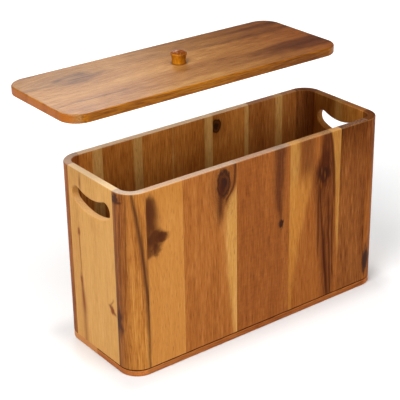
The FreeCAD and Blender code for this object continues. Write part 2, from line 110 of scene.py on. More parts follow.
class Scalar:
    """A number that varies over a surface; arithmetic on it adds Math nodes to its graph."""

    def __init__(self, graph, socket):
        self.graph = graph
        self.socket = socket

    def __add__(self, other):
        return self.graph.math("ADD", self, other)

    def __sub__(self, other):
        return self.graph.math("SUBTRACT", self, other)

    def __rsub__(self, other):
        return self.graph.math("SUBTRACT", other, self)

    def __mul__(self, other):
        return self.graph.math("MULTIPLY", self, other)

    def __truediv__(self, other):
        return self.graph.math("DIVIDE", self, other)

    def call(self, operation):
        return self.graph.math(operation, self)

    def bell(self):
        """1 where the number is zero, falling off smoothly on both sides."""
        return (self * self * -1.0).call("EXPONENT")


class Graph:
    """Node tree of one material, with the calls that the finishes are written in."""

    def __init__(self, name):
        self.material = bpy.data.materials.new(name)
        self.material.use_nodes = True
        self.tree = self.material.node_tree
        self.shader = self.tree.nodes["Principled BSDF"]

    def add(self, kind, **settings):
        node = self.tree.nodes.new(kind)
        for name, setting in settings.items():
            setattr(node, name, setting)
        return node

    def feed(self, socket, source):
        """Links a source to a socket, or writes a constant on it."""
        if isinstance(source, Scalar):
            source = source.socket
        if isinstance(source, bpy.types.NodeSocket):
            self.tree.links.new(source, socket)
        else:
            socket.default_value = source

    def math(self, operation, *sources):
        node = self.add("ShaderNodeMath", operation=operation)
        for socket, source in zip(node.inputs, sources):
            self.feed(socket, source)
        return Scalar(self, node.outputs[0])

    def step(self, source, low, high):
        """Rises smoothly from 0 at low to 1 at high."""
        node = self.add("ShaderNodeMapRange", interpolation_type="SMOOTHSTEP")
        for name, value in (("Value", source), ("From Min", low), ("From Max", high)):
            self.feed(node.inputs[name], value)
        return Scalar(self, node.outputs[0])

    def dot(self, vector, direction):
        node = self.add("ShaderNodeVectorMath", operation="DOT_PRODUCT")
        self.feed(node.inputs[0], vector)
        node.inputs[1].default_value = direction
        return Scalar(self, node.outputs["Value"])

    def noise(self, x, y, z, detail=2.0):
        """Noise about zero, nearly always between -1 and 1."""
        point = self.add("ShaderNodeCombineXYZ")
        for socket, source in zip(point.inputs, (x, y, z)):
            self.feed(socket, source)
        node = self.add("ShaderNodeTexNoise")
        self.feed(node.inputs["Vector"], point.outputs[0])
        node.inputs["Scale"].default_value = 1.0
        node.inputs["Detail"].default_value = detail
        return (Scalar(self, node.outputs[0]) - NOISE_MEAN) * NOISE_GAIN

    def curve(self, source, points):
        """Smooth curve through given points, the first at 0 and the last at 1."""
        node = self.add("ShaderNodeFloatCurve")
        self.feed(node.inputs["Value"], source)
        line = node.mapping.curves[0]
        node.mapping.use_clip = False
        for _ in points[2:]:
            line.points.new(0.5, 0.5)
        for knee, point in zip(line.points, points):
            knee.location = point
        node.mapping.update()
        return Scalar(self, node.outputs[0])

    def shade(self, source, tone):
        """Colour of a tone: its dark lines at 0, its body at a half and its pale fibres at 1."""
        node = self.add("ShaderNodeValToRGB")
        ramp = node.color_ramp
        ramp.elements.new(TONE_MIDDLE)
        for element, colour in zip(ramp.elements, (tone.dark, tone.body, tone.pale)):
            element.color = (*colour, 1)
        self.feed(node.inputs[0], source)
        return node.outputs[0]

    def mix(self, share, first, second):
        """First colour where the share is 0, second where it is 1."""
        node = self.add("ShaderNodeMix", data_type="RGBA")
        self.feed(node.inputs[0], share)
        for socket, colour in ((node.inputs[6], first), (node.inputs[7], second)):
            self.feed(socket, (*colour, 1) if isinstance(colour, tuple) else colour)
        return node.outputs[2]


@dataclass(frozen=True)
class Band:
    """Other wood, or painted shade, between two edges that wander along a board, as (along, across)
    share points.

    An edge that is left out is the edge of the board. The band fades in at start and out at end.
    """

    tone: Tone
    left: tuple = ()
    right: tuple = ()
    soft: float = 0.002
    strength: float = 1.0
    start: float = -1.0
    end: float = 2.0
    fade: float = 0.1


@dataclass(frozen=True)
class Streak:
    """Line of another colour along the grain, through (along, across) share points."""

    line: tuple
    start: float
    end: float
    width: float
    strength: float = 0.8
    colour: tuple = BARK
    fade: float = 0.05


@dataclass(frozen=True)
class Blotch:
    """Ragged dark patch; across and along are shares, wide and tall its half sizes.

    It thins out from inner, a share of its half size, to its outline.
    """

    across: float
    along: float
    wide: float
    tall: float
    strength: float = 0.85
    colour: tuple = BARK
    inner: float = 0.35
    ragged: float = 0.75


@dataclass(frozen=True)
class Knot:
    """Dark knot that the grain flows round; stretch is how much longer it is along the grain."""

    across: float
    along: float
    radius: float
    stretch: float = 1.3
    halo: float = 0.6
    core: float = 0.95
    eye: float = 0.45


@dataclass(frozen=True)
class Wood:
    """What one board looks like.

    Its cut ends are mixed with cut_colour by sanded, partly pale end grain and partly painted
    sheen, and its rounded edges are paler by worn. Its top is painted dark down to shadow_line, in
    metres, as shade in the recess under the walls.
    """

    seed: int
    tone: Tone
    along: Vector
    across: Vector
    bands: tuple = ()
    streaks: tuple = ()
    blotches: tuple = ()
    knots: tuple = ()
    contrast: float = 1.0
    pores: float = 0.35
    ripple: float = 0.06
    roughness: float = 0.46
    shine: float = 0.05
    sanded: float = 0.0
    cut_colour: tuple = SANDED_SHEEN
    worn: float = 0.16
    shadow_line: float = 0.0


# Grain: how far apart its lines lie across and along a board, and how much each sort shows
SEED_STEP = 13.7
SWAY_WIDE = 0.060
SWAY_LONG = 0.170
SWAY = 0.006
FIGURE_WIDE = 0.020
FIGURE_LONG = 0.220
LINE_WIDE = 0.0036
LINE_LONG = 0.080
FIBRE_WIDE = 0.0011
FIBRE_LONG = 0.022
PORE_WIDE = 0.0007
PORE_LONG = 0.010
PORE_START = 0.30
PORE_FULL = 0.62
RIPPLE_WIDE = 0.008
RIPPLE_LONG = 0.0035
FIGURE_SHARE = 0.50
LINE_SHARE = 0.32
FIBRE_SHARE = 0.85
# Ragged edges of bands, patches and knots
RAGGED_WIDE = 0.006
RAGGED_LONG = 0.040
RAGGED = 0.0016
PATCH_GRAIN = 0.7
KNOT_GRAIN_WIDE = 0.004
KNOT_GRAIN_LONG = 0.009
KNOT_RAGGED_SHARE = 0.30
# Knots: how far they push the grain, and the rings in them, in knot radii
KNOT_REACH = 2.2
KNOT_PULL = 0.65
KNOT_HALO = 1.9
KNOT_RING = 0.64
KNOT_RING_WIDE = 0.17
KNOT_FINE_TURNS = 38.0
KNOT_FINE_DEPTH = 0.25
KNOT_EDGE = 0.15
# Cut ends: how squarely a face cuts the grain, how far the pale ends reach along a board and how
# much less pale the cuts between them are, as in a hand hole, then rings and pores
CUT_START = 0.45
CUT_FULL = 0.90
END_NEAR = 0.03
END_FAR = 0.07
HOLE_LESS_PALE = 0.75
RING_WIDE = 0.0022
RING_DEEP = 0.0030
RING_SHARE = 0.3
DOT_WIDE = 0.0006
DOT_START = 0.2
DOT_FULL = 0.6
DOT_SHARE = 0.3
# Lacquer: glue lines at the edges of a board, wear on rounded edges, softness of the painted shade
# in a shadow line, gloss and relief
GLUE_LINE = 0.0004
GLUE_SHADE = 0.30
HALF_LEVEL = 0.5
WORN_START = 0.25
WORN_FULL = 0.95
WORN_PALE = srgb(216, 164, 100)
SHADOW_SOFT = 1.15
LINE_ROUGHNESS = 0.05
PORE_ROUGHNESS = 0.15
RELIEF_STRENGTH = 0.35
RELIEF_HEIGHT = 0.0003
FIBRE_RELIEF = 0.4


class Place:
    """Coordinates over one board from its lowest corner: across and along its grain, in depth."""

    def __init__(self, graph, node, wood):
        self.graph = graph
        low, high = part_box(node)
        source = graph.add("ShaderNodeTexCoord")
        position = source.outputs["Object"]
        self.normal = source.outputs["Normal"]
        corners = [Vector(corner) for corner in product(*zip(low, high))]
        spans = []
        coordinates = []
        for direction in (wood.across, wood.along, wood.across.cross(wood.along)):
            reach = [corner.dot(direction) for corner in corners]
            spans.append(max(reach) - min(reach))
            coordinates.append(graph.dot(position, direction) - min(reach))
        self.across, self.along, self.depth = coordinates
        self.width, self.length, _ = spans
        self.seed = wood.seed * SEED_STEP

    def grain(self, across, wide, long, detail=2.0):
        """Noise drawn out along the grain, solid through the depth of the board."""
        depth = self.depth / wide
        return self.graph.noise(across / wide + self.seed, depth, self.along / long, detail)

    def line(self, points):
        """Where a line through (along, across) share points lies across the board, in metres."""
        ordered = tuple(sorted(points))
        return self.graph.curve(self.along / self.length, ordered) * self.width


def knot_distance(place, knot, ragged):
    """How far aside of a knot a place lies, and how far off in all, in radii of the ragged knot."""
    aside = (place.across - knot.across * place.width) / knot.radius
    up = (place.along - knot.along * place.length) / (knot.radius * knot.stretch)
    return aside, (aside * aside + up * up).call("SQRT") + ragged


def patch_share(graph, place, blotch):
    """How much of a patch shows, less towards its ragged outline."""
    wide = blotch.wide * PATCH_GRAIN
    tall = blotch.tall * PATCH_GRAIN
    ragged = place.grain(place.across, wide, tall) * blotch.ragged
    aside = (place.across - blotch.across * place.width) / blotch.wide
    up = (place.along - blotch.along * place.length) / blotch.tall
    reach = (aside * aside + up * up).call("SQRT") + ragged
    return (1.0 - graph.step(reach, blotch.inner, 1.0)) * blotch.strength


def stretch_share(graph, place, mark):
    """A mark's strength between its start and its end along a board, 0 beyond them."""
    share = place.along / place.length
    lower = graph.step(share, mark.start - mark.fade, mark.start + mark.fade)
    upper = graph.step(share, mark.end - mark.fade, mark.end + mark.fade)
    return lower * (1.0 - upper) * mark.strength


def streak_share(graph, place, streak, across):
    """How much of a streak shows, most on its line."""
    line = ((across - place.line(streak.line)) / streak.width).bell()
    return stretch_share(graph, place, streak) * line


def band_share(graph, place, band, across):
    """How much of a band shows, between its edges."""
    share = stretch_share(graph, place, band)
    if band.left:
        share = share * graph.step(across - place.line(band.left), -band.soft, band.soft)
    if band.right:
        share = share * (1.0 - graph.step(across - place.line(band.right), -band.soft, band.soft))
    return share


def wood_colour(graph, place, wood):
    """Colour of a board and its pores: grain that flows round knots, then bands and marks."""
    sway = place.grain(place.across, SWAY_WIDE, SWAY_LONG, detail=1.0) * SWAY
    ragged = place.grain(place.across, RAGGED_WIDE, RAGGED_LONG)
    across = place.across + sway
    knots = []
    for knot in wood.knots:
        rough = place.grain(place.across, KNOT_GRAIN_WIDE, KNOT_GRAIN_LONG) * KNOT_RAGGED_SHARE
        aside, distance = knot_distance(place, knot, rough)
        knots.append((knot, distance))
        pull = (distance / KNOT_REACH).bell() * KNOT_PULL
        across = across - aside * pull * knot.radius
    figure = place.grain(across, FIGURE_WIDE, FIGURE_LONG) * FIGURE_SHARE
    lines = place.grain(across, LINE_WIDE, LINE_LONG) * LINE_SHARE
    fibres = place.grain(across, FIBRE_WIDE, FIBRE_LONG) * FIBRE_SHARE
    ripple = place.grain(across, RIPPLE_WIDE, RIPPLE_LONG) * wood.ripple
    level = (figure + lines + fibres + ripple) * wood.contrast + TONE_MIDDLE
    colour = graph.shade(level, wood.tone)
    edge = place.across + ragged * RAGGED
    for band in wood.bands:
        share = band_share(graph, place, band, edge)
        colour = graph.mix(share, colour, graph.shade(level, band.tone))
    for blotch in wood.blotches:
        share = patch_share(graph, place, blotch)
        colour = graph.mix(share, colour, blotch.colour)
    for knot, distance in knots:
        rings = (distance * KNOT_FINE_TURNS).call("SINE")
        fine = rings * KNOT_FINE_DEPTH + (1.0 - KNOT_FINE_DEPTH)
        ring = ((distance - KNOT_RING) / KNOT_RING_WIDE).bell() * fine * knot.eye
        halo = (distance / KNOT_HALO).bell() * fine * knot.halo
        colour = graph.mix(halo, colour, BARK)
        heart = (1.0 - graph.step(distance, 1.0 - KNOT_EDGE, 1.0 + KNOT_EDGE)) * knot.core
        colour = graph.mix(heart, colour, graph.mix(ring, KNOT_HEART, KNOT_PALE))
    for streak in wood.streaks:
        share = streak_share(graph, place, streak, edge)
        colour = graph.mix(share, colour, streak.colour)
    pores = place.grain(across, PORE_WIDE, PORE_LONG, detail=0.0)
    return colour, graph.step(pores, PORE_START, PORE_FULL)


def end_grain(graph, place, wood, colour):
    """Cut ends show rings and round pores instead of lines, and a pale cut colour, partly painted
    sheen, weaker in hand holes.
    """
    facing = graph.dot(place.normal, wood.along).call("ABSOLUTE")
    cut = graph.step(facing, CUT_START, CUT_FULL)
    rings = graph.noise(place.across / RING_WIDE + place.seed, place.depth / RING_DEEP, 0.0)
    dots = graph.noise(place.across / DOT_WIDE, place.depth / DOT_WIDE, place.seed, detail=0.0)
    share = place.along / place.length
    above = graph.step(share, END_NEAR, END_FAR)
    inner = above * (1.0 - graph.step(share, 1.0 - END_FAR, 1.0 - END_NEAR))
    pale = (1.0 - inner * HOLE_LESS_PALE) * wood.sanded
    colour = graph.mix(cut * (rings * RING_SHARE + pale), colour, wood.cut_colour)
    dotted = cut * graph.step(dots, DOT_START, DOT_FULL) * DOT_SHARE
    return graph.mix(dotted, colour, BARK), cut


def finish(graph, place, wood, colour, pores, cut):
    """Satin lacquer that sinks into the pores and is worn thin on rounded edges."""
    upward = graph.dot(place.normal, Z).call("ABSOLUTE")
    rounded = 1.0 - ((upward - HALF_LEVEL) / HALF_LEVEL).call("ABSOLUTE")
    worn = graph.step(rounded, WORN_START, WORN_FULL) * wood.worn
    colour = graph.mix(worn, colour, WORN_PALE)
    lower = graph.step(place.across, 0.0, GLUE_LINE)
    upper = graph.step(place.width - place.across, 0.0, GLUE_LINE)
    glue = (1.0 - lower * upper) * GLUE_SHADE * (1.0 - cut)
    colour = graph.mix(glue, colour, BARK)
    # Painted shade: the top of the board is darkened in the recessed shadow line under the walls
    if wood.shadow_line:
        below = graph.step(place.depth, wood.shadow_line, wood.shadow_line * SHADOW_SOFT)
        colour = graph.mix(1.0 - below, colour, BARK)
    colour = graph.mix(pores * wood.pores * (1.0 - cut), colour, BARK)
    shader = graph.shader
    graph.feed(shader.inputs["Base Color"], colour)
    lines = place.grain(place.across, LINE_WIDE, LINE_LONG)
    uneven = lines * LINE_ROUGHNESS + pores * PORE_ROUGHNESS
    graph.feed(shader.inputs["Roughness"], uneven + wood.roughness)
    shader.inputs["Specular IOR Level"].default_value = wood.shine
    fibres = place.grain(place.across, FIBRE_WIDE, FIBRE_LONG)
    bump = graph.add("ShaderNodeBump")
    bump.inputs["Strength"].default_value = RELIEF_STRENGTH
    bump.inputs["Distance"].default_value = RELIEF_HEIGHT
    graph.feed(bump.inputs["Height"], fibres * FIBRE_RELIEF - pores)
    graph.feed(shader.inputs["Normal"], bump.outputs[0])


def dress(node, wood):
    """Gives a board its own wood."""
    graph = Graph(f"{node}_wood")
    place = Place(graph, node, wood)
    colour, pores = wood_colour(graph, place, wood)
    colour, cut = end_grain(graph, place, wood, colour)
    finish(graph, place, wood, colour, pores, cut)
    assign(node, graph.material)


def assign(node, material):
    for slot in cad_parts[node].material_slots:
        slot.material = material


# Grain stands upright in the walls and runs along the box in the base and the lid
def long_wall(seed, tone, **marks):
    return Wood(seed, tone, Z, X, **marks)


def end_wall(seed, tone, **marks):
    return Wood(seed, tone, Z, Y, **marks)


def flat_board(seed, tone, **marks):
    return Wood(seed, tone, X, Y, **marks)


def back_stave(seed, tone, sapwood, sanded=0.95, cut_colour=SANDED_BACK_LIT, knots=()):
    """Stave of the back wall with a band of pale sapwood beyond an edge."""
    bands = (Band(STRAW, left=sapwood),)
    return long_wall(seed, tone, bands=bands, sanded=sanded, cut_colour=cut_colour, knots=knots)


# Numbers in the marks follow the fields of their classes: a streak has its points, start, end,
# width and strength, a blotch its place, half sizes and strength
WOODS = {
    "front_stave_1": long_wall(
        1, GOLD, contrast=0.5, sanded=0.6,
        bands=(
            Band(HONEY, start=0.88, fade=0.12, strength=0.55),
            Band(SCORCH, right=(
                (0, -0.3), (0.59, -0.2), (0.632, 0.06), (0.662, 0.30), (0.692, 0.36),
                (0.712, 0.53), (0.732, 0.57), (0.748, 0.51), (0.772, 0.36), (0.80, 0.31),
                (0.85, 0.32), (0.90, 0.26), (0.95, 0.17), (0.98, -0.2), (1, -0.4),
            ), soft=0.0075, strength=0.80, end=0.97, fade=0.03),
        ),
        blotches=(
            Blotch(0.22, 0.735, 0.016, 0.018, 0.70),
            Blotch(0.42, 0.724, 0.012, 0.010, 0.75),
            Blotch(0.26, 0.660, 0.009, 0.012, 0.65),
            Blotch(0.10, 0.870, 0.012, 0.036, 0.60),
        ),
        streaks=(
            Streak(((0, 0.0), (1, 0.05)), 0.64, 0.95, 0.0060, 0.45, fade=0.06),
            Streak(((0, 0.0), (1, 0.0)), 0.10, 0.62, 0.0016, 0.35),
        ),
    ),
    "front_stave_2": long_wall(
        2, BROWN, contrast=0.8, sanded=0.6,
        bands=(
            Band(SAPWOOD, left=(
                (0, 0.95), (0.2, 0.87), (0.38, 0.82), (0.54, 0.79), (0.7, 0.78), (0.8, 0.84),
                (0.87, 1.0), (1, 1.1),
            ), soft=0.006),
        ),
        streaks=(
            Streak(((0, 0.66), (0.75, 0.68), (0.88, 0.70), (1, 0.72)),
                   0.70, 0.92, 0.0060, 0.85, fade=0.07),
            Streak(((0, 0.80), (0.80, 0.80), (0.85, 0.90), (0.90, 0.955), (1, 0.965)),
                   0.79, 1.1, 0.0024, 0.85, fade=0.03),
        ),
        knots=(Knot(0.752, 0.905, 0.0112, 1.75, 0.75, 0.95, 0.45),),
    ),
    "front_stave_3": long_wall(
        3, RUSSET, contrast=0.8, ripple=0.20, sanded=0.42,
        bands=(
            Band(COFFEE, left=((0, 0.9), (0.55, 0.84), (0.7, 0.73), (1, 0.70)),
                 right=((0, 0.8), (0.5, 0.84), (0.68, 0.86), (1, 0.93)), soft=0.007, strength=0.95),
        ),
        blotches=(Blotch(0.833, 0.556, 0.0055, 0.0095, 0.95, KNOT_HEART, 0.5),),
        streaks=(
            Streak(((0, 0.83), (1, 0.83)), 0.52, 0.66, 0.0018, 0.5),
            Streak(((0, 0.82), (1, 0.80)), 0.64, 1.1, 0.0060, 0.30),
        ),
    ),
    "front_stave_4": long_wall(
        4, RUSSET, contrast=0.8, sanded=0.30, cut_colour=WARM_RIM, shine=0.03,
        bands=(
            # Darker upper middle: partly the wood's own colour, partly painted shade
            Band(UMBER, left=((0, 0.19), (1, 0.19)), right=((0, 0.5), (1, 0.5)),
                 soft=0.006, strength=0.9, start=0.72),
            Band(OLD_SAP, right=((0, 0.05), (0.3, 0.06), (0.6, 0.10), (0.8, 0.17), (1, 0.19)),
                 soft=0.005),
            Band(HONEY, right=(
                (0, 0.05), (0.2, 0.10), (0.35, 0.17), (0.5, 0.26), (0.65, 0.37), (0.75, 0.44),
                (1, 0.48),
            ), soft=0.005, strength=0.8, end=0.77, fade=0.10),
            Band(COFFEE,
                 left=((0, 0.70), (0.3, 0.60), (0.6, 0.50), (0.8, 0.50), (0.9, 0.60), (1, 0.62)),
                 right=((0, 0.93), (0.3, 0.92), (0.6, 0.90), (0.8, 0.9), (1, 0.86)),
                 soft=0.007, strength=0.7),
            Band(OLD_SAP,
                 left=((0, 1.05), (0.2, 1.0), (0.4, 0.95), (0.7, 0.91), (0.9, 0.86), (1, 0.80)),
                 soft=0.002),
        ),
        streaks=(
            Streak(((0, 0.78), (0.3, 0.70), (0.6, 0.62), (1, 0.60)), 0.02, 0.72, 0.0014, 0.85),
            Streak(((0, 0.86), (0.4, 0.80), (1, 0.72)), 0.0, 0.62, 0.0016, 0.85),
            Streak(((0, 0.92), (0.4, 0.87), (1, 0.84)), 0.1, 0.58, 0.0012, 0.8),
            Streak(((0, 0.75), (0.7, 0.71), (1, 0.68)), 0.82, 1.1, 0.0060, 0.65),
            Streak(((0, 0.80), (0.2, 0.74), (0.4, 0.70), (1, 0.66)),
                   0.0, 0.42, 0.0030, 0.85, fade=0.08),
            Streak(((0, 0.62), (0.4, 0.58), (0.7, 0.58), (1, 0.60)),
                   0.30, 0.70, 0.0018, 0.8, fade=0.08),
            Streak(((0, 0.35), (1, 0.33)), 0.80, 1.1, 0.0130, 0.35),
            Streak(((0, 0.58), (1, 0.57)), 0.72, 0.84, 0.0012, 0.75),
            Streak(((0, 0.64), (1, 0.65)), 0.70, 0.93, 0.0014, 0.75),
            Streak(((0, 0.540), (1, 0.590)), 0.715, 0.745, 0.0012, 0.45, BRISTLE, 0.020),
            Streak(((0, 0.610), (1, 0.630)), 0.770, 0.805, 0.0009, 0.40, BRISTLE, 0.020),
            Streak(((0, 0.640), (1, 0.610)), 0.690, 0.725, 0.0010, 0.45, BRISTLE, 0.020),
            Streak(((0, 0.700), (1, 0.680)), 0.740, 0.775, 0.0009, 0.45, BRISTLE, 0.020),
            Streak(((0, 0.720), (1, 0.760)), 0.695, 0.735, 0.0012, 0.45, BRISTLE, 0.020),
            Streak(((0, 0.76), (1, 0.75)), 0.72, 0.97, 0.0014, 0.75),
            Streak(((0, 0.9), (0.7, 0.88), (0.9, 0.83), (1, 0.78)), 0.60, 1.1, 0.0022, 0.8),
        ),
        blotches=(
            Blotch(0.665, 0.800, 0.017, 0.034, 0.6),
            Blotch(0.650, 0.765, 0.015, 0.020, 0.8, KNOT_HEART, 0.0),
            Blotch(0.760, 0.780, 0.006, 0.016, 0.8, KNOT_HEART, 0.0),
        ),
        knots=(Knot(0.655, 0.760, 0.0090, 1.3, 0.60, 0.42, 0.0),),
    ),
    "front_stave_5": long_wall(
        5, UMBER, contrast=1.05, sanded=0.1, shine=0.03,
        # Painted shade: darker towards the top
        bands=(Band(STAVE_TOP_SHADE, start=0.86, fade=0.18, strength=0.95),),
    ),
    "left_end_board": end_wall(
        6, END_GOLD, contrast=0.65, pores=0.10, ripple=0.12, sanded=0.85, cut_colour=END_RIM,
        bands=(Band(HONEY, left=((0, 0.74), (0.4, 0.79), (1, 0.80)), soft=0.004, strength=0.14),),
        streaks=(
            Streak(((0, 0.728), (1, 0.728)), 0.90, 0.98, 0.0024, 0.8, RUST),
            Streak(((0, 0.80), (0.4, 0.80), (0.65, 0.812), (1, 0.8)),
                   0.40, 0.66, 0.0010, 0.75, RUST),
            Streak(((0, 0.77), (0.18, 0.78), (0.3, 0.80), (0.4, 0.81), (1, 0.81)),
                   0.18, 0.39, 0.0030, 0.80, RUST),
            Streak(((0, 0.78), (1, 0.80)), -0.1, 0.30, 0.0050, 0.50, RUST),
            Streak(((0, 0.143), (0.324, 0.143), (0.377, 0.073), (1, 0.073)),
                   0.318, 0.372, 0.0015, 0.60, RUST, 0.016),
            Streak(((0, 0.060), (0.290, 0.060), (0.324, 0.143), (1, 0.143)),
                   0.286, 0.328, 0.0040, 0.90, RUST, 0.010),
        ),
        blotches=(
            Blotch(0.811, 0.651, 0.0036, 0.010, 0.85, RUST),
            Blotch(0.81, 0.365, 0.0040, 0.012, 0.65, RUST),
            Blotch(0.160, 0.328, 0.0042, 0.0024, 0.55, RUST, ragged=0.4),
            Blotch(0.108, 0.308, 0.0052, 0.0085, 0.90, RUST, ragged=0.5),
        ),
    ),
    "right_end_board": end_wall(
        7, HONEY, sanded=0.6, cut_colour=DARK_RIM,
        bands=(
            Band(SAPWOOD, left=((0, 0.44), (1, 0.43)), right=((0, 0.56), (1, 0.56)), soft=0.003),
        ),
    ),
    "corner_front_left": Wood(
        8, HONEY, Z, DIAGONAL_FALL, contrast=1.1, roughness=0.40, shine=0.10, sanded=0.8,
        bands=(
            Band(RUSSET,
                 right=((0, 0.98), (0.3, 0.96), (0.5, 0.92), (0.6, 0.88), (0.75, 0.80), (1, 0.60)),
                 soft=0.004, strength=0.40, start=0.50, fade=0.35),
            Band(RUSSET, right=((0, 0.30), (0.5, 0.36), (1, 0.42)), soft=0.012, strength=0.5),
            Band(CHESTNUT, right=((0, 0.08), (0.25, 0.14), (0.5, 0.14), (0.8, 0.22), (1, 0.26)),
                 soft=0.008, strength=0.6),
        ),
        streaks=(
            Streak(((0, 0.98), (0.3, 0.97), (0.5, 0.94), (0.6, 0.90), (0.75, 0.82), (1, 0.62)),
                   0.28, 1.1, 0.0028, 0.85, fade=0.22),
            Streak(((0, 0.98), (1, 0.98)), -0.1, 0.45, 0.0022, 0.55),
            Streak(((0, 0.30), (0.5, 0.36), (1, 0.44)), 0.45, 1.1, 0.0014, 0.45, fade=0.15),
            Streak(((0, 0.14), (0.5, 0.18), (1, 0.26)), 0.20, 1.1, 0.0016, 0.45, fade=0.15),
            Streak(((0, 0.02), (0.6, 0.06), (1, 0.10)), -0.1, 1.1, 0.0020, 0.50),
        ),
        blotches=(Blotch(0.05, 0.27, 0.009, 0.026, 0.85), Blotch(0.08, 0.965, 0.012, 0.010, 0.9)),
    ),
    "corner_front_right": Wood(
        9, RUSSET, Z, DIAGONAL_RISE, shine=0.02, sanded=0.6, cut_colour=DARK_CORNER,
        bands=(Band(COFFEE, start=0.70, fade=0.28, strength=0.65),),
        blotches=(Blotch(0.10, 0.13, 0.009, 0.030, 0.9, GRIME),),
    ),
    "corner_back_left": Wood(10, CHESTNUT, Z, DIAGONAL_RISE, sanded=0.6),
    "corner_back_right": Wood(11, UMBER, Z, DIAGONAL_FALL, sanded=0.5, cut_colour=DARK_RIM),
    "back_stave_1": back_stave(12, BACK_LIGHT, ((0, 0.50), (1, 0.56))),
    "back_stave_2": back_stave(13, BACK_DEEP, ((0, 0.80), (1, 0.765))),
    "back_stave_3": back_stave(14, BACK_LIGHT, ((0, 0.94), (1, 0.975))),
    "back_stave_4": back_stave(15, BACK_DEEP, ((0, 0.84), (0.5, 0.80), (1, 0.78))),
    "back_stave_5": back_stave(
        16, BACK_DEEP, ((0, 0.86), (1, 0.89)), sanded=0.75, knots=(Knot(0.10, 0.93, 0.008),),
    ),
    "back_stave_6": back_stave(17, BROWN, ((0, 0.84), (1, 0.79)), sanded=0.2, cut_colour=SANDED_SHEEN),
    "back_stave_7": long_wall(18, BROWN, sanded=0.15),
    "base_strip_front": flat_board(
        # Painted shade along its top, under the front wall
        19, BASE_RED, sanded=0.6, cut_colour=BASE_END_RED, shadow_line=0.0019,
    ),
    "base_strip_back": flat_board(20, BASE_TAN, contrast=0.7, sanded=0.6, cut_colour=BASE_END_TAN),
    "lid_board": flat_board(
        21, LID_PALE, contrast=1.2, roughness=0.34, shine=0.10, worn=0.0,
        sanded=0.7, cut_colour=LID_END,
        bands=(
            Band(LID_DEEP, start=0.75, fade=0.35),
            Band(LID_DEEP, left=((0, 0.13), (1, 0.10)), right=((0, 0.40), (0.36, 0.42), (1, 0.36)),
                 soft=0.008, strength=0.3, start=0.20, end=0.70),
            Band(LID_DARK, left=(
                (0, 0.69), (0.06, 0.68), (0.12, 0.64), (0.18, 0.60), (0.24, 0.64), (0.30, 0.71),
                (0.36, 0.72), (0.63, 0.665), (0.84, 0.647), (1, 0.64),
            ), soft=0.005, strength=0.16),
            Band(LID_DARK, left=((0, 0.72), (0.63, 0.665), (0.84, 0.647), (1, 0.64)),
                 soft=0.005, strength=0.24, start=0.40, fade=0.14),
            Band(LID_DEEP, right=((0, 0.36), (1, 0.40)),
                 soft=0.012, strength=0.22, end=0.26, fade=0.10),
            Band(LID_DARK, left=((0, 0.69), (0.10, 0.66), (0.18, 0.60), (0.26, 0.66), (1, 0.72)),
                 soft=0.005, strength=0.14, end=0.26, fade=0.06),
            Band(LID_DARK, left=((0, 0.80), (1, 0.80)),
                 soft=0.006, strength=0.5, start=0.86, fade=0.20),
            Band(LID_SMOKE, left=((0, 0.13), (0.5, 0.13), (1, 0.12)),
                 right=((0, 0.40), (0.60, 0.36), (0.72, 0.33), (0.85, 0.37), (1, 0.38)),
                 soft=0.006, strength=0.95, start=0.68, fade=0.30),
            Band(LID_EDGE, right=((0, 0.012), (1, 0.012)), soft=0.0008),
            Band(SCORCH, right=((0, 0.012), (1, 0.012)),
                 soft=0.0008, strength=0.45, start=0.62, fade=0.25),
        ),
        streaks=(
            Streak(((0, 0.25), (1, 0.255)), 0.04, 0.27, 0.0014, 0.55),
            Streak(((0, 0.86), (1, 0.86)), 0.76, 1.1, 0.0050, 0.55, fade=0.10),
            Streak(((0, 0.70), (1, 0.69)), 0.64, 1.1, 0.0050, 0.30, fade=0.10),
            Streak(((0, 0.69), (1, 0.70)), -0.1, 0.10, 0.0030, 0.40),
            Streak(((0, 0.72), (1, 0.72)), 0.24, 0.29, 0.0030, 0.35, fade=0.03),
            Streak(((0, 0.70), (0.14, 0.765), (0.22, 0.775), (1, 0.72)),
                   0.115, 0.235, 0.0014, 0.60, fade=0.02),
            Streak(((0, 0.72), (0.19, 0.70), (1, 0.72)), 0.165, 0.23, 0.0012, 0.60, fade=0.02),
        ),
        blotches=(
            Blotch(0.27, 0.095, 0.0050, 0.009, 0.30, inner=0.0),
            Blotch(0.26, 0.240, 0.0040, 0.010, 0.30, inner=0.0),
            Blotch(0.50, 0.955, 0.0040, 0.008, 0.45, inner=0.0),
            Blotch(0.755, 0.130, 0.0090, 0.012, 0.40, inner=0.0),
            Blotch(0.790, 0.205, 0.0110, 0.022, 0.50, inner=0.0),
            Blotch(0.635, 0.170, 0.0080, 0.022, 0.30, inner=0.0),
            # Painted shade and reflection: a dark ring round the foot of the knob
            Blotch(0.500, 0.500, 0.0140, 0.0140, 0.80, KNOB_FOOT_SHADE, inner=0.60, ragged=0.0),
            Blotch(0.90, 0.0, 0.015, 0.0024, 0.75),
            Blotch(0.64, 0.0, 0.006, 0.0020, 0.60),
            Blotch(0.38, 0.0, 0.010, 0.0020, 0.60),
            Blotch(0.20, 0.0, 0.006, 0.0020, 0.60),
        ),
        knots=(Knot(0.712, 0.172, 0.0170, 1.7, 0.30, 0.16, 0.60),),
    ),
    "lid_cleat_right": Wood(22, BROWN, Y, X, sanded=0.2, cut_colour=BARK),
    "lid_cleat_left": Wood(23, BROWN, Y, X, sanded=0.2, cut_colour=BARK),
    "lid_knob": Wood(
        24, AMBER, Z, DIAGONAL_FALL, contrast=0.7, roughness=0.22,
        bands=(
            # Painted shade: darker down both sides of the knob and at its foot
            Band(KNOB_SHADE, left=((0, 0.68), (1, 0.66)), soft=0.0035, strength=0.8),
            Band(KNOB_SHADE, right=((0, 0.26), (1, 0.24)), soft=0.0025, strength=0.7),
            Band(KNOB_SHADE, end=0.05, fade=0.05, strength=0.8),
            Band(KNOB_HEAD, start=0.80, fade=0.04),
        ),
    ),
}
SCREWS = ("base_screws", "cleat_screws", "knob_screw")
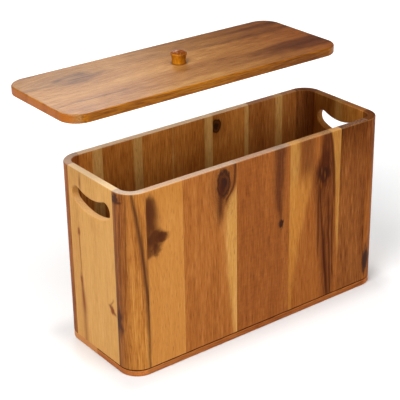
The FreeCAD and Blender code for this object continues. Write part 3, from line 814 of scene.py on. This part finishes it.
# Zinc on the screws: sizes of its turning marks and blotches, how far these show, and its gloss
TURNING_WIDE = 0.002
TURNING_STEP = 0.0002
TURNING_STRENGTH = 0.2
TURNING_HEIGHT = 0.0001
ZINC_BLOTCH = 0.003
ZINC_START = -0.4
ZINC_FULL = 0.6
ZINC_DULL = srgb(172, 170, 164)
ZINC_BRIGHT = srgb(204, 203, 200)
ZINC_ROUGHNESS = 0.32
TURNING_ROUGHNESS = 0.08
BLOTCH_ROUGHNESS = 0.06


def screw_steel():
    """Bright zinc-plated steel with a turned, slightly blotched surface."""
    graph = Graph("screw_steel")
    position = graph.add("ShaderNodeTexCoord").outputs["Object"]
    x, y, z = (graph.dot(position, direction) for direction in (X, Y, Z))
    turning = graph.noise(x / TURNING_WIDE, y / TURNING_WIDE, z / TURNING_STEP)
    blotches = graph.noise(x / ZINC_BLOTCH, y / ZINC_BLOTCH, z / ZINC_BLOTCH)
    colour = graph.mix(graph.step(blotches, ZINC_START, ZINC_FULL), ZINC_DULL, ZINC_BRIGHT)
    shader = graph.shader
    graph.feed(shader.inputs["Base Color"], colour)
    uneven = turning * TURNING_ROUGHNESS + blotches * BLOTCH_ROUGHNESS
    graph.feed(shader.inputs["Roughness"], uneven + ZINC_ROUGHNESS)
    shader.inputs["Metallic"].default_value = 1.0
    bump = graph.add("ShaderNodeBump")
    bump.inputs["Strength"].default_value = TURNING_STRENGTH
    bump.inputs["Distance"].default_value = TURNING_HEIGHT
    graph.feed(bump.inputs["Height"], turning)
    graph.feed(shader.inputs["Normal"], bump.outputs[0])
    return graph.material


# The camera, fitted to the outline of the box in the photograph
CAMERA_PLACE = Vector((-0.96564, -1.22594, 0.89956))
CAMERA_AZIMUTH = math.radians(-36.909)
CAMERA_ELEVATION = math.radians(25.143)
CAMERA_ROLL = math.radians(-0.918)
SENSOR_WIDTH_MM = 36.0
LENS_MM = 111.497


def add_camera():
    data = bpy.data.cameras.new("camera")
    data.sensor_width = SENSOR_WIDTH_MM
    data.lens = LENS_MM
    camera = bpy.data.objects.new("camera", data)
    bpy.context.scene.collection.objects.link(camera)
    level = math.cos(CAMERA_ELEVATION)
    back = Vector((
        math.sin(CAMERA_AZIMUTH) * level,
        -math.cos(CAMERA_AZIMUTH) * level,
        math.sin(CAMERA_ELEVATION),
    ))
    right = Vector((math.cos(CAMERA_AZIMUTH), math.sin(CAMERA_AZIMUTH), 0))
    up = back.cross(right)
    turn = Matrix((right, up, back)).transposed().to_4x4()
    roll = Matrix.Rotation(CAMERA_ROLL, 4, "Z")
    camera.matrix_world = Matrix.Translation(CAMERA_PLACE) @ turn @ roll
    bpy.context.scene.camera = camera


FLOOR_HALF = 6.0
FLOOR_GAP = 0.0002
FLOOR_COLOUR = (0.85, 0.85, 0.85, 1)
FLOOR_ROUGHNESS = 0.9
GLOW_COLOUR = (1, 1, 1, 1)
# Glow of the floor: how strong, and over what distances from the box it sets in
NEAR_GLOW = 0.20
NEAR_REACH = 0.045
FAR_GLOW = 0.60
FAR_START = 0.20
FAR_REACH = 1.00


def add_floor():
    """Pale matt floor; a glow that lights nothing makes it white outside the shadow."""
    mesh = bpy.data.meshes.new("floor")
    corners = [
        (x * FLOOR_HALF, y * FLOOR_HALF, -FLOOR_GAP)
        for x, y in ((-1, -1), (1, -1), (1, 1), (-1, 1))
    ]
    mesh.from_pydata(corners, [], [(0, 1, 2, 3)])
    floor = bpy.data.objects.new("floor", mesh)
    bpy.context.scene.collection.objects.link(floor)
    graph = Graph("floor_paper")
    graph.shader.inputs["Base Color"].default_value = FLOOR_COLOUR
    graph.shader.inputs["Roughness"].default_value = FLOOR_ROUGHNESS
    graph.shader.inputs["Specular IOR Level"].default_value = 0.0
    graph.shader.inputs["Emission Color"].default_value = GLOW_COLOUR
    path = graph.add("ShaderNodeLightPath").outputs
    seen = Scalar(graph, path["Is Camera Ray"]) + Scalar(graph, path["Is Glossy Ray"])
    seen = seen + Scalar(graph, path["Is Transmission Ray"])
    position = graph.add("ShaderNodeTexCoord").outputs["Object"]
    reach_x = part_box("base_strip_front")[1].x
    reach_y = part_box("base_strip_back")[1].y
    outside = []
    for direction, reach in ((X, reach_x), (Y, reach_y)):
        beyond = graph.dot(position, direction).call("ABSOLUTE") - reach
        outside.append(graph.math("MAXIMUM", beyond, 0.0))
    distance = (outside[0] * outside[0] + outside[1] * outside[1]).call("SQRT")
    near = graph.step(distance, 0.0, NEAR_REACH) * NEAR_GLOW
    far = graph.step(distance, FAR_START, FAR_REACH) * FAR_GLOW
    graph.feed(graph.shader.inputs["Emission Strength"], seen * (near + far))
    mesh.materials.append(graph.material)


# Brightness of the surroundings by height, from the horizon at 0 to straight above at 1
SURROUND = ((0.04, 1.00), (0.15, 0.10), (0.45, 0.10), (0.70, 0.42))


def add_world():
    """White near the horizon, dim above it and an even grey overhead."""
    world = bpy.data.worlds.new("studio")
    world.use_nodes = True
    tree = world.node_tree
    background = tree.nodes["Background"]
    source = tree.nodes.new("ShaderNodeTexCoord")
    split = tree.nodes.new("ShaderNodeSeparateXYZ")
    ramp = tree.nodes.new("ShaderNodeValToRGB")
    stops = ramp.color_ramp.elements
    for _ in SURROUND[2:]:
        stops.new(0.5)
    for stop, (height, level) in zip(stops, SURROUND):
        stop.position = height
        stop.color = (level, level, level, 1)
    tree.links.new(source.outputs["Generated"], split.inputs[0])
    tree.links.new(split.outputs["Z"], ramp.inputs[0])
    tree.links.new(ramp.outputs[0], background.inputs["Color"])
    bpy.context.scene.world = world


# Soft boxes: place, what they face, width, height and power in watts
SOFT_BOXES = {
    "left": (Vector((-0.95, -0.38, 1.75)), Vector((0, 0, 0.15)), 0.8, 0.8, 25.0),
    "front": (Vector((0.17, -1.50, 0.93)), Vector((0, 0, 0.15)), 1.0, 1.0, 13.0),
    "back": (Vector((0.247, 0.80, 0.874)), Vector((-0.10, 0.0, 0.37)), 0.332, 0.2, 3.0),
}


def add_lights():
    for name, (spot, target, width, height, power) in SOFT_BOXES.items():
        data = bpy.data.lights.new(name, "AREA")
        data.shape = "RECTANGLE"
        data.size = width
        data.size_y = height
        data.energy = power
        light = bpy.data.objects.new(name, data)
        light.location = spot
        light.rotation_euler = (target - spot).to_track_quat("-Z", "Y").to_euler()
        light.visible_camera = False
        bpy.context.scene.collection.objects.link(light)


for node, wood in WOODS.items():
    dress(node, wood)
steel = screw_steel()
for node in SCREWS:
    assign(node, steel)
add_floor()
add_world()
add_lights()
add_camera()
bpy.context.scene.view_settings.view_transform = "Standard"
